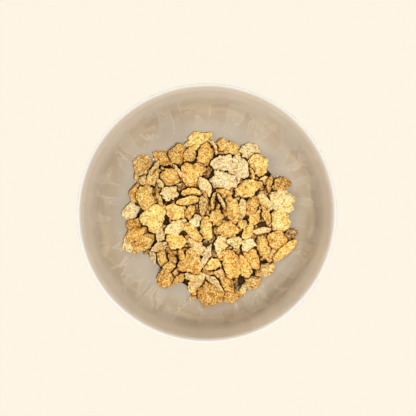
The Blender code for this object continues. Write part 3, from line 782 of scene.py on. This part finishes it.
class FlakeMesh:
    """One joined mesh of flakes of a kind, with tone, relief and edge kept on its points."""

    def __init__(self, detail):
        self.bm = bmesh.new()
        self.unit = unit_flake(detail)
        self.owners = []

    def add(self, flake, number, height, settings, tops):
        """Models one flake at its place."""
        mesh = self.unit.copy()
        unit = mesh_points(mesh)
        unit /= np.linalg.norm(unit, axis=1)[:, None]
        flat = flake_flat(flake, flake_phases(number), unit)
        rim = np.hypot(unit[:, 0], unit[:, 1])
        rough = SHAPES[flake.shape].rough
        knobs = blisters(flat, settings.blister_size, number)
        beads = blisters(flat, settings.blister_size * BEAD_SIZE, number)
        swell = soft_noise(flat * SWELL_STRETCH, SWELL_SIZE, number)
        notches = abs(soft_noise(flat, NOTCH_SIZE, number + 0.5))
        nicks = soft_noise(flat, NICK_SIZE, number + 0.7)
        ragged = EDGE_OUTSET - NOTCH_DEPTH * notches + NICK_DEPTH * nicks
        outward = flat[:, :2] / np.maximum(np.hypot(flat[:, 0], flat[:, 1]), CLOSE)[:, None]
        relief = KNOB_SHARE * knobs + (1.0 - KNOB_SHARE) * beads
        edge = rough * settings.ragged * ragged * rim**RAGGED_POWER
        flat[:, :2] += outward * edge[:, None]
        flat[:, 2] += settings.wave * swell
        flat += unit * (rough * settings.blister * (relief - RELIEF_MIDDLE))[:, None]
        points = flake_turned(flake, flat) + (flake.x * MM, flake.y * MM, height)
        if flake.shape != "crumb":
            tops.add(points, number)
        shade = 1.0 + random.Random(SHADE_SEED + number).uniform(-SHADE_SPREAD, SHADE_SPREAD)
        tone = [shade * part for part in TONES[flake.tone]] + [1.0]
        mesh.vertices.foreach_set("co", points.ravel())
        keep_values(mesh, "relief", relief)
        keep_values(mesh, "rim", rim**RIM_POWER)
        keep_values(mesh, "tone", np.tile(tone, len(points)), "FLOAT_COLOR")
        self.owners.append(np.full(len(points), number))
        self.bm.from_mesh(mesh)
        bpy.data.meshes.remove(mesh)

    def finish(self, name, tops, skin):
        """Makes the flakes one piece with their skin, and keeps the depth of each point in the heap, with the
        painted shadows along edges, for the skin's painted shade.
        """
        bpy.data.meshes.remove(self.unit)
        flakes = linked_object(self.bm, name)
        depths = tops.depths(mesh_points(flakes.data), np.concatenate(self.owners), skin.seam)
        keep_values(flakes.data, "depth", depths)
        flakes.data.materials.append(skin_material(name, skin))
        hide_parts("cereal")


class Tops:
    """The highest point of the heap in each fine cell, seen from above, and the flake that it belongs to."""

    def __init__(self):
        self.heights = np.full((TOP_CELLS, TOP_CELLS), FLOOR_HEIGHT)
        self.owners = np.full((TOP_CELLS, TOP_CELLS), BARE)

    def cells(self, points):
        return tuple(np.floor(points[:, :2].T / TOP_CELL + TOP_CELLS / 2).astype(int))

    def add(self, points, owner):
        cells = self.cells(points)
        before = self.heights[cells]
        np.maximum.at(self.heights, cells, points[:, 2])
        self.owners[cells] = np.where(self.heights[cells] > before, owner, self.owners[cells])

    def height_at(self, x, y):
        floor = float(cavity_height(math.hypot(x, y))) + FLOOR_GAP
        return max(floor, self.heights[self.cells(np.array([(x, y)]))][0])

    def depths(self, points, owners, seam):
        """How far each point lies below the mean of the tops round it, in shares of DEPTH_REACH from 0 to 1.

        Where a flake goes under another, a painted shadow runs along the upper one, as dark as the given
        share; the skin paints these depths as shade.
        """
        cells = self.cells(points)
        reach = range(-DEPTH_CELLS, DEPTH_CELLS + 1)
        near = [np.roll(self.heights, (x, y), (0, 1)) for x in reach for y in reach]
        surface = np.mean(near, axis=0)[cells]
        sunk = np.clip((surface - points[:, 2]) / DEPTH_REACH, 0.0, 1.0)
        covered = np.zeros(len(points))
        for (x, y), weight in SHADOW_WEIGHTS.items():
            covered += weight * (np.roll(self.owners, (-x, -y), (0, 1))[cells] > owners)
        patchy = SHADOW_MEAN + SHADOW_SWING * soft_noise(points / MM, SHADOW_PATCH, 0)
        patchy = np.clip(patchy, SHADOW_LEAST, 1.0)
        return np.maximum(sunk, seam * patchy * np.clip(covered, 0.0, 1.0))


# Skin: scale of each noise
PATCH_SCALE = 250.0
GRAIN_SCALE = 900.0
COARSE_SCALE = 520.0
PORE_SCALE = 620.0
# The values of noise, relief or depth between which each mark comes in
LIGHT_MASK = (0.49, 0.58)
PIT_MASK = (0.46, 0.385)
TOASTED_MASK = (0.49, 0.60)
SUNNY_MASK = (0.44, 0.34)
CREST_HIGHLIGHT_MASK = (0.55, 0.85)
CREASE_SHADE_MASK = (0.40, 0.10)
PORE_MASK = (0.34, 0.12)
PORE_PATCHES = (0.52, 0.60)
SHADED_DEPTH = (0.0, 0.55)
HIDDEN_DEPTH = (0.35, 0.9)
# What each mark multiplies the colour by, or covers it with
BRIGHT_TINT = (1.24, 1.38, 1.75)
PIT_TINT = (0.33, 0.20, 0.12)
TOASTED_TINT = (0.93, 0.66, 0.38)
SUNNY_TINT = (1.12, 0.97, 0.56)
CREASE_SHADE_TINT = (0.50, 0.29, 0.16)
SHADED_TINT = (0.60, 0.37, 0.19)
SUGAR = (0.98, 0.86, 0.52)
PORE_COLOUR = (0.16, 0.055, 0.015)
HIDDEN_COLOUR = (0.016, 0.008, 0.004)
# How strongly each mark shows
SUGAR_SHARE = 0.7
SUGAR_COVER = 0.64
CREST_HIGHLIGHT_SHARE = 0.35
BROWNED_SHADE_SHARE = 0.6
EDGE_HIGHLIGHT_SHARE = 0.4
CREASE_SHADE_SHARE = 0.65
PORE_SHARE = 0.85
HIDDEN_SHARE = 0.95
# Depth of the pores and height of the patches, where the grain is 1
PORE_DEPTH = 0.6
PATCH_HEIGHT = 2.0
SKIN_ROUGHNESS = 0.72
SKIN_SHINE = 0.25


def skin_group():
    """Toasted skin: specks, dark pores and a paler crumbly edge over the flake's own tone, with painted
    highlights on crests and edges, and painted shade in creases, on browned edges and deep in the heap.
    """
    group, given, result = new_group(
        "toasted_skin",
        [
            ("Tone", "NodeSocketColor", (0.7, 0.5, 0.2, 1.0)),
            ("Relief", "NodeSocketFloat", 0.5),
            ("Rim", "NodeSocketFloat", 0.0),
            ("Depth", "NodeSocketFloat", 0.0),
            ("Toasting", "NodeSocketFloat", 0.5),
            ("Speckle", "NodeSocketFloat", 0.6),
        ],
        [("Colour", "NodeSocketColor"), ("Height", "NodeSocketFloat")],
    )
    place = group.nodes.new("ShaderNodeTexCoord").outputs["Object"]
    noises = ((PATCH_SCALE, 2.0, 0.5), (GRAIN_SCALE, 3.0, 0.75), (COARSE_SCALE, 2.0, 0.6))
    patches, grain, coarse = (
        texture(group, "ShaderNodeTexNoise", place, {"Scale": scale, "Detail": detail, "Roughness": rough})
        for scale, detail, rough in noises
    )
    pores = texture(group, "ShaderNodeTexVoronoi", place, {"Scale": PORE_SCALE, "Randomness": 1.0})
    tone, relief, rim = (given.outputs[label] for label in ("Tone", "Relief", "Rim"))
    # Grain: from dark pits to pale sugary points
    bright = tinted(group, tone, BRIGHT_TINT)
    light = mix_colours(group, SUGAR_SHARE, bright, mix_colours(group, SUGAR_COVER, tone, SUGAR))
    colour = mix_colours(group, ramp(group, grain, *LIGHT_MASK), tone, light)
    pit = times(group, ramp(group, grain, *PIT_MASK), given.outputs["Speckle"])
    colour = mix_colours(group, pit, colour, tinted(group, tone, PIT_TINT))
    # Toasted and sunny patches, and pale crests, a painted highlight
    toasted = tinted(group, colour, TOASTED_TINT)
    toast = times(group, ramp(group, patches, *TOASTED_MASK), given.outputs["Toasting"])
    colour = mix_colours(group, toast, colour, toasted)
    sunny = tinted(group, colour, SUNNY_TINT)
    colour = mix_colours(group, ramp(group, patches, *SUNNY_MASK), colour, sunny)
    crest_highlight = times(group, ramp(group, relief, *CREST_HIGHLIGHT_MASK), CREST_HIGHLIGHT_SHARE)
    colour = mix_colours(group, crest_highlight, colour, light)
    # The edge: browner on the toasted flakes, toasting with painted shade on the flake's sides, and paler on
    # the others, a painted highlight
    browned_shaded_edge = times(group, rim, given.outputs["Toasting"])
    colour = mix_colours(group, times(group, browned_shaded_edge, BROWNED_SHADE_SHARE), colour, toasted)
    highlighted_edge = math_node(group, "SUBTRACT", rim, browned_shaded_edge)
    colour = mix_colours(group, times(group, highlighted_edge, EDGE_HIGHLIGHT_SHARE), colour, light)
    # Painted shade in the creases, and dark pores
    crease_shade = times(group, ramp(group, relief, *CREASE_SHADE_MASK), CREASE_SHADE_SHARE)
    colour = mix_colours(group, crease_shade, colour, tinted(group, tone, CREASE_SHADE_TINT))
    pore = times(group, ramp(group, pores, *PORE_MASK), ramp(group, coarse, *PORE_PATCHES))
    colour = mix_colours(group, times(group, pore, PORE_SHARE), colour, PORE_COLOUR)
    # Painted shade deep in the heap and painted shadow along the edges under other flakes: first a warm
    # brown, then nearly black
    shaded = tinted(group, colour, SHADED_TINT)
    colour = mix_colours(group, ramp(group, given.outputs["Depth"], *SHADED_DEPTH), colour, shaded)
    hidden = times(group, ramp(group, given.outputs["Depth"], *HIDDEN_DEPTH), HIDDEN_SHARE)
    colour = mix_colours(group, hidden, colour, HIDDEN_COLOUR)
    group.links.new(colour, result.inputs["Colour"])
    height = math_node(group, "SUBTRACT", grain, times(group, pore, PORE_DEPTH))
    height = math_node(group, "ADD", height, coarse)
    height = math_node(group, "ADD", height, times(group, patches, PATCH_HEIGHT))
    group.links.new(height, result.inputs["Height"])
    return group


def skin_material(name, skin):
    """The toasted skin, with the values that are kept on the points of the flakes."""
    material, tree, shader = new_material(name, SKIN_ROUGHNESS)
    group = tree.nodes.new("ShaderNodeGroup")
    group.node_tree = bpy.data.node_groups.get("toasted_skin") or skin_group()
    group.inputs["Toasting"].default_value = skin.toasting
    group.inputs["Speckle"].default_value = skin.speckle
    for label in ("Tone", "Relief", "Rim", "Depth"):
        reader = add_node(tree, "ShaderNodeAttribute", attribute_name=label.lower())
        tree.links.new(reader.outputs["Color" if label == "Tone" else "Fac"], group.inputs[label])
    tree.links.new(group.outputs["Colour"], shader.inputs["Base Color"])
    add_bump(tree, shader, group.outputs["Height"], *SKIN_BUMP)
    shader.inputs["Specular IOR Level"].default_value = SKIN_SHINE
    return material


class CerealSettings(bpy.types.PropertyGroup):
    ragged: FloatProperty(name="Ragged edge", description="Depth of the crumbly edge in mm", default=1.1)
    blister: FloatProperty(name="Blister height", description="Height of the bubbly skin in mm", default=0.75)
    blister_size: FloatProperty(name="Blister size", description="Width of the blisters in mm", default=2.2)
    wave: FloatProperty(name="Waviness", description="How far a flake waves up and down in mm", default=0.7)
    tucked: IntProperty(name="Tucked flakes", description="Flakes tried in the gaps of the heap", default=260)
    crumbs: IntProperty(name="Crumbs", description="Small crumbs scattered over the heap", default=90)


# How toasted and speckled each piece's flakes are, and how dark the painted shadows along their edges
Skin = namedtuple("Skin", "toasting speckle seam")
SKINS = {
    "pale_flakes": Skin(0.35, 0.65, 0.4),
    "golden_flakes": Skin(0.75, 0.8, 0.7),
    "amber_flakes": Skin(0.85, 0.8, 0.7),
    "toasted_flakes": Skin(0.85, 0.9, 0.7),
    "tucked_flakes": Skin(0.8, 0.75, 0.7),
    "crumbs": Skin(0.3, 0.5, 0.0),
}
# The tones of the flakes that each piece holds
KINDS = {
    "pale_flakes": ("cream", "pale", "pink"),
    "golden_flakes": ("gold",),
    "amber_flakes": ("amber", "yellow"),
    "toasted_flakes": ("tan", "toast", "brown"),
}
# Subdivisions of the sphere that a flake starts from
FINE_DETAIL = 5
COARSE_DETAIL = {"tucked_flakes": 4, "crumbs": 3}

# Flakes tucked in the gaps: how far out they lie, and the limits of length, width, turn, roll, pitch and curl
TUCKED_SEED = 77
FIRST_TUCKED = -300
TUCKED_REACH = 0.9
# Tucked flakes take only the darker tones, partly painted shade for lying deep in the heap
TUCKED_TONES = ("tan", "toast", "brown", "brown")
TUCKED_SHAPES = ("leaf", "round", "leaf", "lobed")
TUCKED_LIMITS = ((8.0, 13.0), (5.5, 8.5), (0, 180), (-60, 60), (-20, 20), (-1.0, 1.0))

# Crumbs: width as a share of the length, turn from one to the next, and how much of it stands out
CRUMB_SEED = 55
FIRST_CRUMB = 700
CRUMB_TONES = ("cream", "pale", "gold", "tan", "toast")
CRUMB_SIZES = (0.8, 2.0)
CRUMB_WIDTH = 0.8
CRUMB_TURN = 50
CRUMB_RISE = 0.3
# Loose crumbs that show, the first by the square flake at the heap's left: tone, x, y and length in mm
Crumb = namedtuple("Crumb", "tone x y length")
CRUMBS = (
    Crumb("cream", -46.3, -1.2, 3.0),
    Crumb("cream", -11.2, -58.6, 2.6),
    Crumb("pale", -13.5, -59.8, 1.6),
    Crumb("tan", -40.5, 3.5, 1.8),
    Crumb("cream", -18.0, -63.5, 0.9),
    Crumb("cream", -20.5, -66.0, 0.8),
    Crumb("pale", 60.5, -11.0, 1.7),
    Crumb("toast", 58.0, -20.0, 1.8),
    Crumb("gold", 42.5, 27.0, 1.9),
    Crumb("pale", 25.5, -56.8, 1.6),
)


def kind_of(flake):
    return next(kind for kind, tones in KINDS.items() if flake.tone in tones)


def heap_place(angle, share):
    """The place in mm at this share of the way from the heap's centre to the core's edge."""
    reach = share * float(core_reach(angle))
    return (HEAP_CENTRE[0] + reach * math.cos(angle)) / MM, (HEAP_CENTRE[1] + reach * math.sin(angle)) / MM


def tucked_flakes(ground, count):
    """Flakes in the gaps of the heap, by a seeded draw, each with its number and height."""
    draw = random.Random(TUCKED_SEED)
    for number in range(FIRST_TUCKED, FIRST_TUCKED - count, -1):
        share = TUCKED_REACH * math.sqrt(draw.random())
        x, y = heap_place(draw.uniform(0.0, 2 * math.pi), share)
        flake = Flake(
            draw.choice(TUCKED_TONES), draw.choice(TUCKED_SHAPES), x, y,
            *(draw.uniform(*limits) for limits in TUCKED_LIMITS),
        )
        height = ground.tuck(flake, flake_phases(number))
        if height is not None:
            yield flake, number, height


def scattered_crumbs(count):
    """Small crumbs all over the heap, by a seeded draw."""
    draw = random.Random(CRUMB_SEED)
    for _ in range(count):
        angle = draw.uniform(0.0, 2 * math.pi)
        x, y = heap_place(angle, math.sqrt(draw.random()))
        yield Crumb(draw.choice(CRUMB_TONES), x, y, draw.uniform(*CRUMB_SIZES))


def crumb_flake(crumb, number):
    width = CRUMB_WIDTH * crumb.length
    return Flake(crumb.tone, "crumb", crumb.x, crumb.y, crumb.length, width, CRUMB_TURN * number, 0, 0, 0.0)


class CEREAL_OT_flakes(bpy.types.Operator):
    """Model every flake that shows, and those tucked in the gaps, as one joined mesh for each kind"""

    bl_idname = "cereal.flakes"
    bl_label = "Flakes"

    def execute(self, context):
        settings = context.scene.cereal_flakes
        meshes = {kind: FlakeMesh(COARSE_DETAIL.get(kind, FINE_DETAIL)) for kind in SKINS}
        ground = Ground()
        tops = Tops()
        for number, flake in enumerate(FLAKES):
            height = ground.settle(flake, flake_phases(number))
            meshes[kind_of(flake)].add(flake, number, height, settings, tops)
        for flake, number, height in tucked_flakes(ground, settings.tucked):
            meshes["tucked_flakes"].add(flake, number, height, settings, tops)
        for number, crumb in enumerate((*CRUMBS, *scattered_crumbs(settings.crumbs)), FIRST_CRUMB):
            height = tops.height_at(crumb.x * MM, crumb.y * MM) + CRUMB_RISE * SHAPES["crumb"].thick * MM
            meshes["crumbs"].add(crumb_flake(crumb, number), number, height, settings, tops)
        for kind, mesh in meshes.items():
            mesh.finish(kind, tops, SKINS[kind])
        return {"FINISHED"}


# Inside of the heap: its reach and how far it is sunk under the solid's core, its crumble and its colours,
# which are painted shade near black
CORE_SHARE = 0.93
CORE_SINK = 0.0012
CORE_LEAST = CORE_EDGE / 3
CRUMBLE_DEPTH = 0.0011
CRUMBLE_SCALE = 260.0
CORE_DETAIL = 6
CORE_ROUGHNESS = 0.9
CORE_GRAIN = 420.0
CORE_MASK = (0.42, 0.62)
CORE_DARK = (0.018, 0.008, 0.003)
CORE_LIGHT = (0.07, 0.034, 0.012)


class CEREAL_OT_core(bpy.types.Operator):
    """Model the shadowed inside of the heap as one crumbly dome under the flakes"""

    bl_idname = "cereal.core"
    bl_label = "Heap Core"

    def execute(self, context):
        bm = bmesh.new()
        bmesh.ops.create_icosphere(bm, subdivisions=CORE_DETAIL, radius=1.0)
        for vert in bm.verts:
            unit = vert.co.normalized()
            reach = CORE_SHARE * core_reach(math.atan2(unit.y, unit.x))
            x = HEAP_CENTRE[0] + unit.x * reach
            y = HEAP_CENTRE[1] + unit.y * reach
            bottom = cavity_height(math.hypot(x, y)) + FLOOR_GAP
            crumble = CRUMBLE_DEPTH * noise.noise(Vector((x, y, 0.0)) * CRUMBLE_SCALE)
            top = max(core_height(x, y) - CORE_SINK + crumble, bottom + CORE_LEAST)
            middle = (top + bottom) / 2
            vert.co = (x, y, middle + (top - middle) * math.copysign(abs(unit.z) ** CORE_SPREAD, unit.z))
        core = linked_object(bm, "heap_core")
        material, tree, shader = new_material("heap_core", CORE_ROUGHNESS)
        place = tree.nodes.new("ShaderNodeTexCoord").outputs["Object"]
        grain = texture(tree, "ShaderNodeTexNoise", place, {"Scale": CORE_GRAIN, "Detail": 3.0})
        colour = mix_colours(tree, ramp(tree, grain, *CORE_MASK), CORE_DARK, CORE_LIGHT)
        tree.links.new(colour, shader.inputs["Base Color"])
        core.data.materials.append(material)
        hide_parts("cereal")
        return {"FINISHED"}


# Stage, with the place, width and colour of each light
LIGHTS = {
    "key": ((0.15, -0.15, 0.86), 0.20, (1.0, 0.98, 0.95)),
    "left_fill": ((-0.64, -0.14, 0.5), 0.5, (1.0, 0.97, 0.93)),
    "back_fill": ((-0.02, 0.68, 0.5), 0.5, (1.0, 0.98, 0.95)),
}
SKY_COLOUR = (1.0, 0.985, 0.96)
FLOOR_SIZE = 1.5
FLOOR_DROP = 0.0005
SENSOR_WIDTH = 36.0
CLIP_START = 0.01


class StageSettings(bpy.types.PropertyGroup):
    camera_over_rim: length_setting("Camera over rim", "Height of the camera over the rim", 0.42)
    camera_right: length_setting("Camera right", "How far right of the axis the camera stands", 0.00067)
    camera_up: length_setting("Camera up", "How far to the picture's top the camera stands", 0.0033)
    frame_width: length_setting("Frame width", "Width of the view at the rim", 0.2546)
    sky: FloatProperty(name="Sky", description="Strength of the even light", default=0.30)
    key: power_setting("Key light", "Strength of the key light", 7.6)
    left_fill: power_setting("Left fill", "Strength of the low light from the left", 2.1)
    back_fill: power_setting("Back fill", "Strength of the low light from behind", 1.5)
    backdrop: colour_setting("Backdrop", "Colour of the floor", (0.991, 0.913, 0.776))


def area_light(name, place, size, power, colour):
    light = bpy.data.lights.new(name, "AREA")
    light.shape = "DISK"
    light.size = size
    light.energy = power
    light.color = colour
    obj = bpy.data.objects.new(name, light)
    obj.location = place
    obj.rotation_euler = (-Vector(place)).to_track_quat("-Z", "Y").to_euler()
    obj.visible_glossy = False
    bpy.context.scene.collection.objects.link(obj)


def plain_world(strength):
    world = bpy.data.worlds.new("soft studio")
    bpy.context.scene.world = world
    world.use_nodes = True
    background = world.node_tree.nodes["Background"]
    background.inputs["Color"].default_value = (*SKY_COLOUR, 1.0)
    background.inputs["Strength"].default_value = strength


class CEREAL_OT_stage(bpy.types.Operator):
    """Set the floor, the soft light and the camera that looks straight down"""

    bl_idname = "cereal.stage"
    bl_label = "Stage"

    def execute(self, context):
        settings = context.scene.cereal_stage
        scene = context.scene
        bm = bmesh.new()
        bmesh.ops.create_grid(bm, x_segments=1, y_segments=1, size=FLOOR_SIZE)
        mesh = bpy.data.meshes.new("floor")
        bm.to_mesh(mesh)
        bm.free()
        floor = bpy.data.objects.new("floor", mesh)
        floor.location.z = -FLOOR_DROP
        scene.collection.objects.link(floor)
        material, tree, shader = new_material("pale floor", 1.0)
        shader.inputs["Base Color"].default_value = (0.0, 0.0, 0.0, 1.0)
        shader.inputs["Specular IOR Level"].default_value = 0.0
        shader.inputs["Emission Color"].default_value = (*settings.backdrop, 1.0)
        shader.inputs["Emission Strength"].default_value = 1.0
        mesh.materials.append(material)
        plain_world(settings.sky)
        for name, (place, size, colour) in LIGHTS.items():
            area_light(name, place, size, getattr(settings, name), colour)
        camera = bpy.data.cameras.new("camera")
        camera.sensor_width = SENSOR_WIDTH
        camera.lens = camera.sensor_width * settings.camera_over_rim / settings.frame_width
        camera.clip_start = CLIP_START
        holder = bpy.data.objects.new("camera", camera)
        holder.location = (settings.camera_right, settings.camera_up, BOWL_HEIGHT + settings.camera_over_rim)
        scene.collection.objects.link(holder)
        scene.camera = holder
        scene.view_settings.view_transform = "Standard"
        return {"FINISHED"}


class CEREAL_PT_panel(bpy.types.Panel):
    bl_label = "Bowl of Cereal"
    bl_idname = "CEREAL_PT_panel"
    bl_space_type = "VIEW_3D"
    bl_region_type = "UI"
    bl_category = "Cereal"

    def draw(self, context):
        groups = (context.scene.cereal_bowl, context.scene.cereal_flakes, context.scene.cereal_stage)
        for settings in groups:
            box = self.layout.box()
            for name in settings.__annotations__:
                box.prop(settings, name)
        for operator in OPERATORS:
            self.layout.operator(operator.bl_idname)


OPERATORS = (CEREAL_OT_stage, CEREAL_OT_bowl, CEREAL_OT_core, CEREAL_OT_flakes)
SETTINGS = {"cereal_bowl": BowlSettings, "cereal_flakes": CerealSettings, "cereal_stage": StageSettings}
CLASSES = (*SETTINGS.values(), *OPERATORS, CEREAL_PT_panel)


def register():
    for kind in CLASSES:
        bpy.utils.register_class(kind)
    for name, kind in SETTINGS.items():
        setattr(bpy.types.Scene, name, PointerProperty(type=kind))


def unregister():
    for name in SETTINGS:
        delattr(bpy.types.Scene, name)
    for kind in reversed(CLASSES):
        bpy.utils.unregister_class(kind)


def main():
    register()
    bpy.ops.cereal.stage()
    bpy.ops.cereal.bowl()
    bpy.ops.cereal.core()
    bpy.ops.cereal.flakes()


if __name__ == "__main__":
    main()
